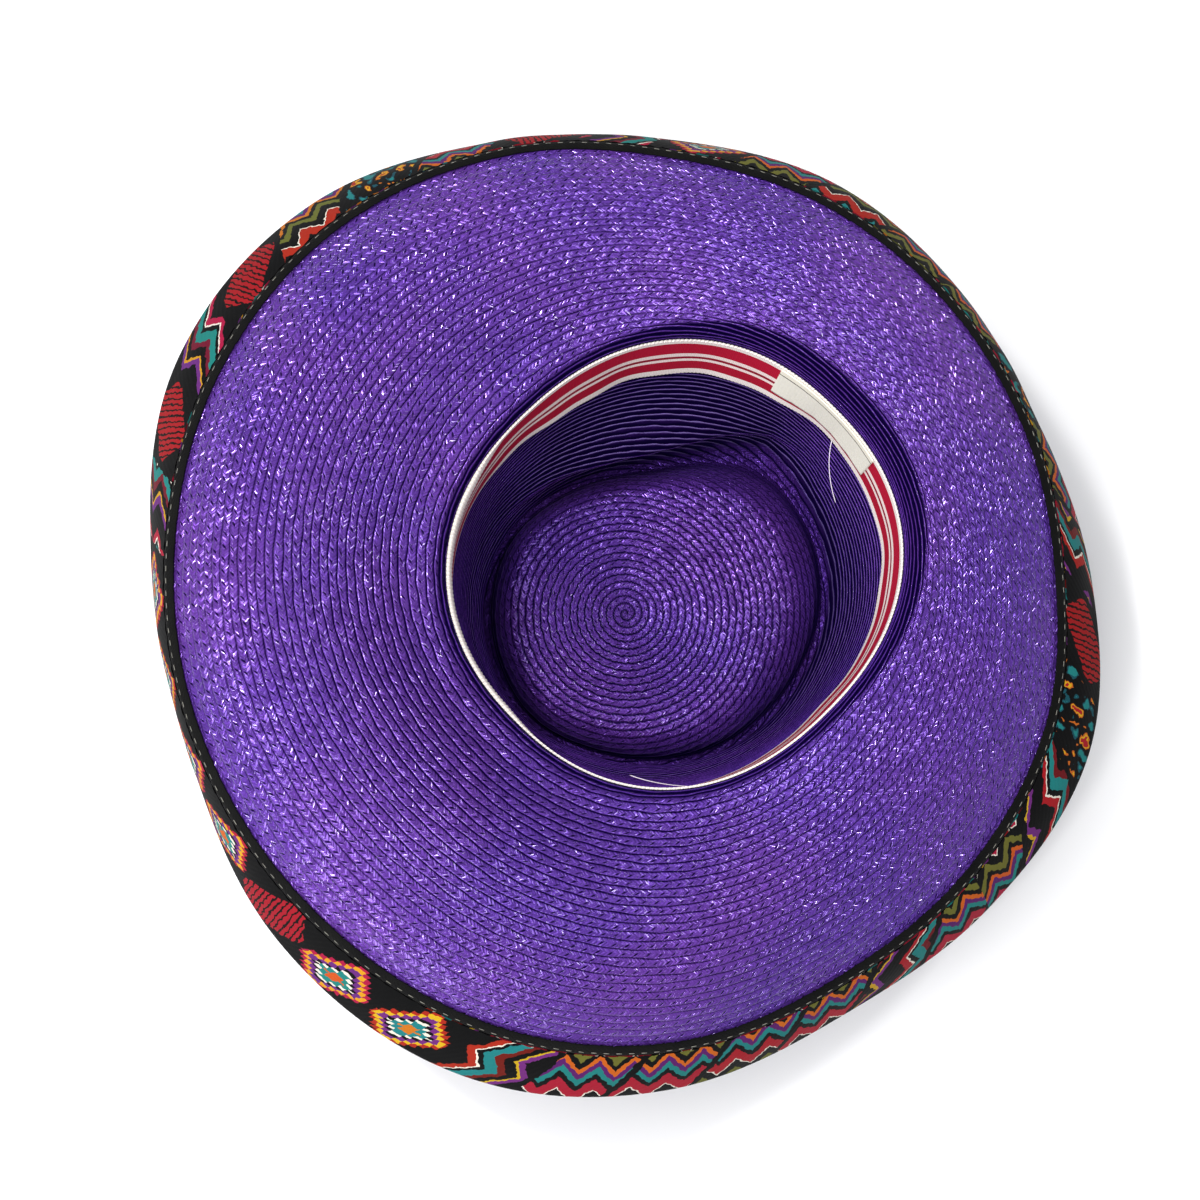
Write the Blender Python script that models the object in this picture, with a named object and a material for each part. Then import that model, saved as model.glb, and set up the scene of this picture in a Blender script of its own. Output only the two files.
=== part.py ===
"""Wide brimmed church hat of sewn straw braid, lying on the top of its crown with the head opening up.

Metres, +Z up. The origin is on the surface that the hat lies on, under the middle of its outline.
+Y is the back of the hat, where the label is, and -Y is the front, where the brim is widest.
"""

import math
from collections import namedtuple

import bmesh
import bpy
from mathutils import Matrix, Vector

# Head opening, measured inside the straw
HEAD_WIDTH = 0.1714
HEAD_LENGTH = 0.1834
HEAD_SQUARENESS = 2.25  # exponent of the oval, 2 is a plain ellipse

# Crown
CROWN_DEPTH = 0.105  # from the head line to the ridge round the top
STRAW = 0.0016  # wall of the sewn braid
RIDGE_FLAT = 0.004  # width of the ring that the crown lies on
GROOVE_RISE = 0.009  # height at which the ridge turns into the wall and into the tip
TIP_RISE = 0.019  # how far the middle of the top is pressed in
TIP_CENTRE_X = -0.004
TIP_CENTRE_Y = -0.015
PINCH_DEPTH = 0.010  # the dent low in the wall beside the point of the teardrop
POINT_ANGLE = math.radians(101)  # where the crown's foot is drawn out to a point
POINT_SPREAD = math.radians(20)  # from the point to where it has died out
POINT_REACH = 0.006

# Brim
BRIM_REACH = 0.110  # from the head line to the straw's edge at its widest
BRIM_RISE = 0.020  # the most that the straw's edge lies above or below the head line
NECK_HEIGHT = 0.022  # how far the wall goes on past the head line before it turns into the brim
NECK_LEAN = 0.30  # outward lean of the neck for each unit of its height
BRIM_SWELL = 0.36  # length of the curve's handles, as a share of the span between them

# Binding tape and printed cuff on the brim's edge
TAPE_LAP = 0.0050  # how far the tape covers the straw on each face
TAPE_THICKNESS = 0.0008
CUFF_WIDTH = 0.026
CUFF_THICKNESS = 0.0030
CUFF_CURL = 7.0  # degrees by which the cuff's slope grows and falls from its middle

# Sweatband ribbon and label
RIBBON_WIDTH = 0.029
RIBBON_THICKNESS = 0.0010
RIBBON_DROP = 0.0005  # the ribbon's sewn edge below the head line
RIBBON_STAND_OFF = 0.0048  # the most that its loose edge stands away from the wall
LABEL_LENGTH = 0.054
LABEL_WIDTH = 0.022
LABEL_THICKNESS = 0.0008

CLEARANCE = 0.0003  # gap between pieces that touch
SECTIONS_PER_ROW = 4  # sections lofted for each row of the tables
LABEL_SECTIONS = 8

# Rows follow each other every 22.5 degrees from the +X side, turning towards the back.
# reach and rise: the straw's edge, as shares of BRIM_REACH and BRIM_RISE
# neck: share of NECK_HEIGHT
# crest, edge, cuff: slope in degrees past the neck, at the straw's edge and along the cuff
BrimRow = namedtuple("BrimRow", "reach rise neck crest edge cuff")
BRIM_ROWS = (
    BrimRow(0.800, -1.10, 0.45, -4, -38, -54),
    BrimRow(0.725, -0.80, 0.68, -10, -36, -40),
    BrimRow(0.610, -0.40, 0.86, -14, -34, -50),
    BrimRow(0.580, 0.00, 1.00, -10, -32, -66),
    BrimRow(0.610, 0.10, 1.00, -6, -32, -61),
    BrimRow(0.665, -0.10, 0.82, -2, -32, -54),
    BrimRow(0.745, -0.30, 0.42, 2, -33, -60),
    BrimRow(0.900, -0.35, 0.20, 6, -35, -63),
    BrimRow(1.015, -0.30, 0.16, 10, -34, -49),
    BrimRow(1.025, -0.10, 0.16, 14, -38, -47),
    BrimRow(0.995, 0.20, 0.16, 20, -43, -72),
    BrimRow(0.990, 0.50, 0.16, 27, -46, -80),
    BrimRow(0.995, 0.50, 0.16, 31, -47, -57),
    BrimRow(0.970, 0.10, 0.17, 28, -48, -46),
    BrimRow(0.915, -0.50, 0.20, 18, -47, -55),
    BrimRow(0.835, -1.00, 0.26, 6, -42, -63),
)

# foot: where the wall meets the ridge, as a share of half of HEAD_LENGTH
# tip: the edge of the pressed-in middle, as a share of half of HEAD_LENGTH
# pinch: share of PINCH_DEPTH
# loose: the ribbon's lower edge, as a share of RIBBON_STAND_OFF
CrownRow = namedtuple("CrownRow", "foot tip pinch loose")
CROWN_ROWS = (
    CrownRow(0.83, 0.735, 0.0, 0.20),
    CrownRow(0.85, 0.75, 0.0, 0.20),
    CrownRow(0.90, 0.78, 0.0, 0.30),
    CrownRow(0.945, 0.80, 0.0, 0.25),
    CrownRow(0.965, 0.785, 0.0, 0.25),
    CrownRow(0.87, 0.70, 0.5, 0.75),
    CrownRow(0.765, 0.625, 1.0, 0.45),
    CrownRow(0.74, 0.635, 0.9, 0.75),
    CrownRow(0.765, 0.68, 0.4, 0.40),
    CrownRow(0.81, 0.745, 0.0, 0.00),
    CrownRow(0.85, 0.77, 0.0, 0.00),
    CrownRow(0.865, 0.79, 0.0, 0.00),
    CrownRow(0.865, 0.805, 0.0, 0.00),
    CrownRow(0.83, 0.765, 0.0, 0.00),
    CrownRow(0.815, 0.745, 0.0, 0.00),
    CrownRow(0.815, 0.74, 0.0, 0.10),
)

# height: share of CROWN_DEPTH; lean: share of the way from the head line to the foot
# pinch: how much of the pinch reaches this ring
WallRing = namedtuple("WallRing", "height lean pinch")
WALL_RINGS = (
    WallRing(1.00, 0.00, 0.0),
    WallRing(0.97, 0.00, 0.0),
    WallRing(0.86, 0.04, 0.0),
    WallRing(0.70, 0.13, 0.0),
    WallRing(0.52, 0.32, 0.0),
    WallRing(0.37, 0.52, 0.30),
    WallRing(0.25, 0.72, 0.85),
    WallRing(0.20, 0.84, 0.90),
    WallRing(0.13, 0.97, 0.25),
)

# size: distance from the tip's centre as a share of the way to its edge
# rise: share of TIP_RISE
TipRing = namedtuple("TipRing", "size rise")
TIP_RINGS = (
    TipRing(0.90, 0.84),
    TipRing(0.76, 0.98),
    TipRing(0.50, 1.00),
    TipRing(0.24, 0.96),
)

SECTIONS = SECTIONS_PER_ROW * len(BRIM_ROWS)


def linear(hex_colour):
    """Scene linear colour of an sRGB hex value."""
    channels = [int(hex_colour[i:i + 2], 16) / 255 for i in (1, 3, 5)]
    toned = [c / 12.92 if c <= 0.04045 else ((c + 0.055) / 1.055) ** 2.4 for c in channels]
    return (*toned, 1.0)


def material(name, hex_colour, roughness):
    finish = bpy.data.materials.new(name)
    finish.use_nodes = True
    shader = finish.node_tree.nodes["Principled BSDF"]
    shader.inputs["Base Color"].default_value = linear(hex_colour)
    shader.inputs["Roughness"].default_value = roughness
    shader.inputs["Metallic"].default_value = 0.0
    return finish


def around(rows, column, angle):
    """A table's column at an angle, on a smooth closed curve through its rows."""
    values = [getattr(row, column) for row in rows]
    place = angle / math.tau * len(values)
    index = math.floor(place)
    step = place - index
    before, start, end, after = (values[(index + i) % len(values)] for i in (-1, 0, 1, 2))
    straight = start + (end - start) * step
    bend_start = (end - before) / 2 - (end - start)
    bend_end = (after - start) / 2 - (end - start)
    return straight + step * (1 - step) * (bend_start * (1 - step) - bend_end * step)


def head_radius(angle):
    """Inside radius of the head opening, an oval a little squarer than an ellipse."""
    across = abs(math.cos(angle)) / (HEAD_WIDTH / 2)
    along = abs(math.sin(angle)) / (HEAD_LENGTH / 2)
    return (across ** HEAD_SQUARENESS + along ** HEAD_SQUARENESS) ** (-1 / HEAD_SQUARENESS)


def foot_radius(angle):
    """Inside radius where the wall meets the ridge, drawn out to a point beside the back."""
    point = max(0.0, 1 - abs(angle - POINT_ANGLE) / POINT_SPREAD)
    return around(CROWN_ROWS, "foot", angle) * HEAD_LENGTH / 2 + POINT_REACH * point


def tip_radius(angle):
    return around(CROWN_ROWS, "tip", angle) * HEAD_LENGTH / 2


def ring_radius(angle, ring):
    """Inside radius of the crown's wall at one of its rings."""
    head = head_radius(angle)
    pinch = around(CROWN_ROWS, "pinch", angle) * PINCH_DEPTH * ring.pinch
    return head + (foot_radius(angle) - head) * ring.lean - pinch


def wall_radius(angle, height):
    """Inside radius of the crown's wall at a height, straight between its rings."""
    share = height / CROWN_DEPTH
    upper = max(i for i, ring in enumerate(WALL_RINGS[:-1]) if ring.height >= share)
    top, bottom = WALL_RINGS[upper], WALL_RINGS[upper + 1]
    step = (top.height - share) / (top.height - bottom.height)
    top_radius = ring_radius(angle, top)
    return top_radius + (ring_radius(angle, bottom) - top_radius) * step


def spot(angle, radius, height):
    return Vector((radius * math.cos(angle), radius * math.sin(angle), height))


def section_angles():
    return [math.tau * i / SECTIONS for i in range(SECTIONS)]


def new_object(name, mesh_builder, finish):
    mesh = bpy.data.meshes.new(name)
    mesh_builder.to_mesh(mesh)
    mesh_builder.free()
    mesh.materials.append(finish)
    mesh.shade_smooth()
    mesh.set_sharp_from_angle(angle=math.radians(40))
    piece = bpy.data.objects.new(name, mesh)
    bpy.context.scene.collection.objects.link(piece)
    return piece


def skin(builder, sections, closed_round, closed_across):
    """Faces between neighbouring sections, each a list of vertices of the same length."""
    rounds = len(sections) if closed_round else len(sections) - 1
    across = len(sections[0]) if closed_across else len(sections[0]) - 1
    for i in range(rounds):
        here, following = sections[i], sections[(i + 1) % len(sections)]
        for j in range(across):
            k = (j + 1) % len(here)
            builder.faces.new((here[j], following[j], following[k], here[k]))


def solid_ring(name, section_at, finish):
    """A closed ring lofted through one closed outline for each angle."""
    builder = bmesh.new()
    sections = [[builder.verts.new(point) for point in section_at(angle)] for angle in section_angles()]
    skin(builder, sections, closed_round=True, closed_across=True)
    bmesh.ops.recalc_face_normals(builder, faces=builder.faces)
    return new_object(name, builder, finish)


def give_wall(piece, thickness):
    """Thickens a skin on the side away from the way that its faces point."""
    wall = piece.modifiers.new("Straw wall", "SOLIDIFY")
    wall.thickness = thickness
    wall.offset = -1.0
    wall.use_even_offset = True
    wall.use_quality_normals = True


def crown_outline(angle):
    """Outer skin of the crown from the head line down to the ridge and in to the tip's edge."""
    points = []
    for ring in WALL_RINGS:
        points.append(spot(angle, ring_radius(angle, ring) + STRAW, ring.height * CROWN_DEPTH))
    foot, tip = foot_radius(angle), tip_radius(angle)
    middle = (foot + tip) / 2
    points.append(spot(angle, foot + STRAW - GROOVE_RISE / 4, GROOVE_RISE / 2))
    points.append(spot(angle, middle + RIDGE_FLAT / 2, 0.0))
    points.append(spot(angle, middle - RIDGE_FLAT / 2, 0.0))
    points.append(spot(angle, tip - STRAW, GROOVE_RISE))
    return points


def crown(finish):
    builder = bmesh.new()
    centre = Vector((TIP_CENTRE_X, TIP_CENTRE_Y, 0.0))
    middle = builder.verts.new(centre + Vector((0, 0, TIP_RISE * TIP_RINGS[-1].rise)))
    sections = []
    for angle in section_angles():
        points = crown_outline(angle)
        edge = Vector((points[-1].x, points[-1].y, 0.0))
        for ring in TIP_RINGS:
            flat = centre + (edge - centre) * ring.size
            points.append(Vector((flat.x, flat.y, TIP_RISE * ring.rise)))
        sections.append([builder.verts.new(point) for point in points])
    skin(builder, sections, closed_round=True, closed_across=False)
    for here, following in zip(sections, sections[1:] + sections[:1]):
        builder.faces.new((here[-1], following[-1], middle))
    bmesh.ops.recalc_face_normals(builder, faces=builder.faces)
    widest = max(builder.faces, key=lambda face: face.calc_center_median().xy.length)
    if widest.normal.xy.dot(widest.calc_center_median().xy) < 0:
        bmesh.ops.reverse_faces(builder, faces=builder.faces)
    piece = new_object("crown", builder, finish)
    give_wall(piece, STRAW)
    return piece


def slope(degrees):
    """Unit step outwards and up along a slope."""
    return Vector((math.cos(math.radians(degrees)), math.sin(math.radians(degrees))))


def brim_edge(angle):
    """The straw's edge on the brim's underside, as distance from the axis and height."""
    reach = around(BRIM_ROWS, "reach", angle) * BRIM_REACH
    rise = around(BRIM_ROWS, "rise", angle) * BRIM_RISE
    return Vector((head_radius(angle) + reach, CROWN_DEPTH + rise))


def brim_profile(angle):
    """The brim's underside from the head line out to the straw's edge."""
    neck = around(BRIM_ROWS, "neck", angle) * NECK_HEIGHT
    root = Vector((head_radius(angle), CROWN_DEPTH + CLEARANCE))
    crest = root + Vector((neck * NECK_LEAN, neck))
    points = [root, root + Vector((0, neck / 3)), crest]
    edge_slope = slope(around(BRIM_ROWS, "edge", angle))
    edge = brim_edge(angle)
    lap = edge - edge_slope * (TAPE_LAP + CLEARANCE)
    handle = (lap - crest).length * BRIM_SWELL
    turn = crest + slope(around(BRIM_ROWS, "crest", angle)) * handle
    fall = lap - edge_slope * handle
    for i in range(1, 8):
        t = i / 7
        points.append((1 - t) ** 3 * crest + 3 * (1 - t) ** 2 * t * turn
                      + 3 * (1 - t) * t ** 2 * fall + t ** 3 * lap)
    points.append(edge)
    return points


def brim(finish):
    builder = bmesh.new()
    sections = []
    for angle in section_angles():
        points = [spot(angle, point.x, point.y) for point in brim_profile(angle)]
        sections.append([builder.verts.new(point) for point in points])
    skin(builder, sections, closed_round=True, closed_across=False)
    bmesh.ops.recalc_face_normals(builder, faces=builder.faces)
    widest = max(builder.faces, key=lambda face: face.calc_center_median().xy.length)
    if widest.normal.z < 0:
        bmesh.ops.reverse_faces(builder, faces=builder.faces)
    piece = new_object("brim", builder, finish)
    give_wall(piece, STRAW)
    return piece


def at_edge(angle, outward, above):
    """A point beside the straw's edge: outward along its slope, above its underside."""
    along = slope(around(BRIM_ROWS, "edge", angle))
    across = Vector((-along.y, along.x))
    return brim_edge(angle) + along * outward + across * above


def tape_section(angle):
    """The tape folded round the straw's edge, open towards the crown."""
    back = CLEARANCE + TAPE_THICKNESS
    top, bottom = CLEARANCE, -STRAW - CLEARANCE
    outline = (
        (-TAPE_LAP, top), (-TAPE_LAP, top + TAPE_THICKNESS), (back, top + TAPE_THICKNESS),
        (back, bottom - TAPE_THICKNESS), (-TAPE_LAP, bottom - TAPE_THICKNESS), (-TAPE_LAP, bottom),
        (CLEARANCE, bottom), (CLEARANCE, top),
    )
    points = [at_edge(angle, outward, above) for outward, above in outline]
    return [spot(angle, point.x, point.y) for point in points]


def cuff_section(angle):
    """The doubled printed band, rolled down past the tape and rounded at its folded edge."""
    lean = around(BRIM_ROWS, "cuff", angle)
    steps = 4
    middle = at_edge(angle, TAPE_THICKNESS + 2 * CLEARANCE, -STRAW / 2)
    upper, lower = [], []
    direction = slope(around(BRIM_ROWS, "edge", angle))
    for i in range(steps + 1):
        side = Vector((-direction.y, direction.x)) * CUFF_THICKNESS / 2
        upper.append(middle + side)
        lower.append(middle - side)
        direction = slope(lean + CUFF_CURL * (1 - 2 * i / (steps - 1)))
        if i < steps:
            middle = middle + direction * CUFF_WIDTH / steps
    nose = middle + slope(lean - CUFF_CURL) * CUFF_THICKNESS / 2
    outline = upper + [nose] + lower[::-1]
    return [spot(angle, point.x, point.y) for point in outline]


def ribbon_radius(angle, height):
    """Side of the ribbon that faces the wall: sewn at its upper edge, loose at its lower one."""
    depth = (CROWN_DEPTH - RIBBON_DROP - height) / RIBBON_WIDTH
    loose = around(CROWN_ROWS, "loose", angle) * RIBBON_STAND_OFF * depth
    return wall_radius(angle, height) - CLEARANCE - loose


def ribbon_heights(top, bottom):
    """Heights from top to bottom, with the wall's rings between them."""
    rings = [ring.height * CROWN_DEPTH for ring in WALL_RINGS]
    return [top] + [height for height in rings if bottom < height < top] + [bottom]


def ribbon_section(angle):
    top = CROWN_DEPTH - RIBBON_DROP
    heights = ribbon_heights(top, top - RIBBON_WIDTH)
    outer = [spot(angle, ribbon_radius(angle, height), height) for height in heights]
    inner = [spot(angle, ribbon_radius(angle, height) - RIBBON_THICKNESS, height) for height in heights]
    return outer + inner[::-1]


def label(finish):
    """A bare woven label sewn over the ribbon at the centre back."""
    top = CROWN_DEPTH - RIBBON_DROP
    heights = ribbon_heights(top, top - LABEL_WIDTH)
    half = LABEL_LENGTH / HEAD_LENGTH
    outer_gap = RIBBON_THICKNESS + CLEARANCE
    builder = bmesh.new()
    sections = []
    for i in range(LABEL_SECTIONS + 1):
        angle = math.pi / 2 - half + 2 * half * i / LABEL_SECTIONS
        outer = [spot(angle, ribbon_radius(angle, h) - outer_gap, h) for h in heights]
        inner = [spot(angle, ribbon_radius(angle, h) - outer_gap - LABEL_THICKNESS, h) for h in heights]
        sections.append([builder.verts.new(point) for point in outer + inner[::-1]])
    skin(builder, sections, closed_round=False, closed_across=True)
    builder.faces.new(sections[0])
    builder.faces.new(sections[-1])
    bmesh.ops.recalc_face_normals(builder, faces=builder.faces)
    return new_object("label", builder, finish)


def centre_on_outline(widest_piece):
    """Moves every mesh so that the hat's outline is centred over the origin."""
    corners = [vertex.co for vertex in widest_piece.data.vertices]
    middle_x = (min(c.x for c in corners) + max(c.x for c in corners)) / 2
    middle_y = (min(c.y for c in corners) + max(c.y for c in corners)) / 2
    for piece in bpy.data.objects:
        piece.data.transform(Matrix.Translation((-middle_x, -middle_y, 0.0)))


def build_hat():
    for old in list(bpy.data.objects):
        bpy.data.objects.remove(old, do_unlink=True)
    straw = material("violet straw braid", "#5B3A9C", 0.35)
    crown(straw)
    brim(material("violet straw braid, brim", "#6A45AE", 0.35))
    solid_ring("edge_tape", tape_section, material("black bias tape", "#121214", 0.8))
    cuff = solid_ring("printed_cuff", cuff_section, material("printed cotton", "#1B1A1E", 0.75))
    solid_ring("sweatband", ribbon_section, material("striped grosgrain ribbon", "#A8142E", 0.7))
    label(material("woven label", "#E6E0CC", 0.75))
    centre_on_outline(cuff)


build_hat()
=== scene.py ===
"""Looks of a wide brimmed church hat of sewn violet straw braid, lying on its crown with the head opening up.

Metres, in the frame of the solids: +Z up, +Y towards the back of the hat, the floor at 0.
"""

import math
from collections import namedtuple
from functools import partial

import bpy
import numpy as np
from mathutils import Matrix, Vector


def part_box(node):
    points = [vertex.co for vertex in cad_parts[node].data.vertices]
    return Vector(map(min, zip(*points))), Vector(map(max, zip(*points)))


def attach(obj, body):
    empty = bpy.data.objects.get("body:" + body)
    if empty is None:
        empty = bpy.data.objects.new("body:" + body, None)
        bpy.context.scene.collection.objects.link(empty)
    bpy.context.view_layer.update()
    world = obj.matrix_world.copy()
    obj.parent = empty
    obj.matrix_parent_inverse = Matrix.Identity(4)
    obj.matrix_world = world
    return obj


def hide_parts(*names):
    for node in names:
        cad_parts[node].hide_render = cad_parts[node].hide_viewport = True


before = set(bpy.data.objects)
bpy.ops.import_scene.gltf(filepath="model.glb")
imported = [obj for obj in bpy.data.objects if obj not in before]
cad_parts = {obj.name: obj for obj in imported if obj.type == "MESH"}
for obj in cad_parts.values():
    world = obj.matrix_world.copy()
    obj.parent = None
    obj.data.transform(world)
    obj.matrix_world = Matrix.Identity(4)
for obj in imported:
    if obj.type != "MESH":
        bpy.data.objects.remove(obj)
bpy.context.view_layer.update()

bl_info = {
    "name": "Church hat",
    "version": (1, 0, 0),
    "blender": (4, 5, 0),
    "location": "3D View > Sidebar > Hat",
    "description": "Dresses the solids of a sewn straw hat with its braid, trims, ribbon and stage",
    "category": "Object",
}

# Middle of the head opening in plan, read from the ribbon that lines it
HEAD_AXIS = sum(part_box("sweatband"), Vector()) / 2

# Head opening and crown, as in the solids
HEAD_WIDTH = 0.1714
HEAD_LENGTH = 0.1834
HEAD_SQUARENESS = 2.25
CROWN_DEPTH = 0.105
STRAW = 0.0016
RIDGE_FLAT = 0.004
GROOVE_RISE = 0.009
TIP_RISE = 0.019
TIP_CENTRE = (-0.004, -0.015)
PINCH_DEPTH = 0.010
POINT_ANGLE = math.radians(101)
POINT_SPREAD = math.radians(20)
POINT_REACH = 0.006

# Brim, tape and cuff, as in the solids
BRIM_REACH = 0.110
BRIM_RISE = 0.020
NECK_HEIGHT = 0.022
NECK_LEAN = 0.30
BRIM_SWELL = 0.36
TAPE_LAP = 0.0050
TAPE_THICKNESS = 0.0008
CUFF_WIDTH = 0.026
CUFF_THICKNESS = 0.0030
CUFF_CURL = 7.0
CLEARANCE = 0.0003

# Ribbon and label, as in the solids
RIBBON_WIDTH = 0.029
RIBBON_THICKNESS = 0.0010
RIBBON_DROP = 0.0005
RIBBON_STAND_OFF = 0.0048
LABEL_LENGTH = 0.054
LABEL_WIDTH = 0.022
LABEL_THICKNESS = 0.0008

# Where the ribbon's upper edge rolls in: how far, about which angle, and from which cosine over which fade
RIBBON_ROLL = 0.0014
ROLL_ANGLE = math.radians(236)
ROLL_START = 0.70
ROLL_FADE = 0.16
# How much more of the cream edge the roll shows, as a share of the ribbon's width
ROLL_SHIFT = 0.09

# Sections round the hat
CROWN_SECTIONS = 264
BRIM_SECTIONS = 384
TAPE_SECTIONS = 900
CUFF_SECTIONS = 720
STITCH_LINE_POINTS = 2000

TOPSTITCH_INSET = 0.0012
WELD = 0.00001

# Where the step down from a lip begins and where the seam under it is, as shares of a row
LIP_STEP = 0.942
SEAM = 0.958

# The photo's camera, in degrees: round the hat from the front, above the floor, and its roll
CAMERA_AROUND = 17.0
CAMERA_ABOVE = 77.9
CAMERA_ROLL = 46.3

STRAW_NAME = "Violet straw braid, plaited, sewn and lacquered"

# Where a row of braid is met and how far it then lies under its lip, as shares of the row and of its depth
FRONT_LAP = ((0.0, 1.0), (0.12, 0.80), (0.50, 0.35), (0.94, 0.0))
BRIM_BACK_LAP = ((0.06, 0.0), (0.50, 0.45), (1.0, 1.0))
CROWN_BACK_LAP = ((0.06, 0.0), (1.0, 1.0))

# Rows follow each other every 22.5 degrees from the +X side, turning towards the back
# reach and rise: the straw's edge, as shares of BRIM_REACH and BRIM_RISE; neck: share of NECK_HEIGHT
# crest, edge, cuff: slope in degrees past the neck, at the straw's edge and along the cuff
BrimRow = namedtuple("BrimRow", "reach rise neck crest edge cuff")
BRIM_ROWS = (
    BrimRow(0.800, -1.10, 0.45, -4, -38, -54),
    BrimRow(0.725, -0.80, 0.68, -10, -36, -40),
    BrimRow(0.610, -0.40, 0.86, -14, -34, -50),
    BrimRow(0.580, 0.00, 1.00, -10, -32, -66),
    BrimRow(0.610, 0.10, 1.00, -6, -32, -61),
    BrimRow(0.665, -0.10, 0.82, -2, -32, -54),
    BrimRow(0.745, -0.30, 0.42, 2, -33, -60),
    BrimRow(0.900, -0.35, 0.20, 6, -35, -63),
    BrimRow(1.015, -0.30, 0.16, 10, -34, -49),
    BrimRow(1.025, -0.10, 0.16, 14, -38, -47),
    BrimRow(0.995, 0.20, 0.16, 20, -43, -72),
    BrimRow(0.990, 0.50, 0.16, 27, -46, -80),
    BrimRow(0.995, 0.50, 0.16, 31, -47, -57),
    BrimRow(0.970, 0.10, 0.17, 28, -48, -46),
    BrimRow(0.915, -0.50, 0.20, 18, -47, -55),
    BrimRow(0.835, -1.00, 0.26, 6, -42, -63),
)

# foot and tip: where the wall meets the ridge and where the pressed-in top starts, shares of half HEAD_LENGTH
# pinch: share of PINCH_DEPTH; loose: the ribbon's lower edge, share of RIBBON_STAND_OFF
CrownRow = namedtuple("CrownRow", "foot tip pinch loose")
CROWN_ROWS = (
    CrownRow(0.83, 0.735, 0.0, 0.20),
    CrownRow(0.85, 0.75, 0.0, 0.20),
    CrownRow(0.90, 0.78, 0.0, 0.30),
    CrownRow(0.945, 0.80, 0.0, 0.25),
    CrownRow(0.965, 0.785, 0.0, 0.25),
    CrownRow(0.87, 0.70, 0.5, 0.75),
    CrownRow(0.765, 0.625, 1.0, 0.45),
    CrownRow(0.74, 0.635, 0.9, 0.75),
    CrownRow(0.765, 0.68, 0.4, 0.40),
    CrownRow(0.81, 0.745, 0.0, 0.00),
    CrownRow(0.85, 0.77, 0.0, 0.00),
    CrownRow(0.865, 0.79, 0.0, 0.00),
    CrownRow(0.865, 0.805, 0.0, 0.00),
    CrownRow(0.83, 0.765, 0.0, 0.00),
    CrownRow(0.815, 0.745, 0.0, 0.00),
    CrownRow(0.815, 0.74, 0.0, 0.10),
)

# height: share of CROWN_DEPTH; lean: share of the way from the head line to the foot
WallRing = namedtuple("WallRing", "height lean pinch")
WALL_RINGS = (
    WallRing(1.00, 0.00, 0.0),
    WallRing(0.97, 0.00, 0.0),
    WallRing(0.86, 0.04, 0.0),
    WallRing(0.70, 0.13, 0.0),
    WallRing(0.52, 0.32, 0.0),
    WallRing(0.37, 0.52, 0.30),
    WallRing(0.25, 0.72, 0.85),
    WallRing(0.20, 0.84, 0.90),
    WallRing(0.13, 0.97, 0.25),
)

# size: share of the way from the middle of the top to its edge; rise: share of TIP_RISE
TipRing = namedtuple("TipRing", "size rise")
TIP_RINGS = (
    TipRing(0.90, 0.84),
    TipRing(0.76, 0.98),
    TipRing(0.50, 1.00),
    TipRing(0.24, 0.96),
)

Lamp = namedtuple("Lamp", "name place size power")
LAMPS = (
    Lamp("ceiling", (-0.42, -0.22, 1.80), 0.9, 14.5),
    Lamp("ceiling lamp", (-0.72, -0.22, 1.48), 0.17, 11.5),
    Lamp("front lamp", (0.02, -0.66, 1.30), 0.14, 4.5),
    Lamp("front window", (0.55, -1.30, 1.15), 0.7, 13.0),
    Lamp("far lamp", (0.03, 0.96, 1.28), 0.14, 5.5),
    Lamp("low lamp", (-0.34, -1.10, 0.52), 0.14, 2.6),
)


def srgb(hex_colour):
    """Scene linear colour of an sRGB hex value."""
    channels = [int(hex_colour[i:i + 2], 16) / 255 for i in (1, 3, 5)]
    return [c / 12.92 if c <= 0.04045 else ((c + 0.055) / 1.055) ** 2.4 for c in channels] + [1.0]


class StrawSettings(bpy.types.PropertyGroup):
    crown_rows: bpy.props.IntProperty(
        name="Crown rows", description="Rows of braid from the head line to the middle of the top",
        default=60, min=20)
    tip_pitch: bpy.props.FloatProperty(
        name="Top row width", description="Width that shows of each row of braid on the crown's top",
        default=0.0032, unit="LENGTH")
    brim_rows: bpy.props.IntProperty(
        name="Brim rows", description="Rows of braid from the head line out to the edge", default=34, min=8)
    row_depth: bpy.props.FloatProperty(
        name="Row depth", description="Step where one row of braid laps over the next",
        default=0.0007, unit="LENGTH")
    stitch_pitch: bpy.props.FloatProperty(
        name="Plait pitch", description="Length of one plait along the braid", default=0.0050, unit="LENGTH")
    lit: bpy.props.FloatVectorProperty(
        name="Violet", description="Colour of the upper faces of the straw", subtype="COLOR", size=4,
        default=srgb("#60369C"))
    # The straw is mixed towards this colour for painted shade: under the lips, in the dimples and the groove,
    # on steep walls, the neck and the pressed-in top; a little also for each strand's own tint
    shade_violet: bpy.props.FloatVectorProperty(
        name="Deep violet", description="Colour between the rows of braid", subtype="COLOR", size=4,
        default=srgb("#0E0433"))


class TrimSettings(bpy.types.PropertyGroup):
    picot_pitch: bpy.props.FloatProperty(
        name="Picot pitch", description="Length of one scallop of the ribbon's edges",
        default=0.0017, unit="LENGTH")
    picot_height: bpy.props.FloatProperty(
        name="Picot height", description="How far a scallop stands out", default=0.0007, unit="LENGTH")
    topstitch_pitch: bpy.props.FloatProperty(
        name="Topstitch pitch", description="From one stitch of the tape to the next",
        default=0.0050, unit="LENGTH")
    topstitch_length: bpy.props.FloatProperty(
        name="Topstitch length", description="Length of one stitch of the tape",
        default=0.0022, unit="LENGTH")
    thread_radius: bpy.props.FloatProperty(
        name="Thread radius", description="Half the thickness of the sewing thread",
        default=0.00018, unit="LENGTH")


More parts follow.
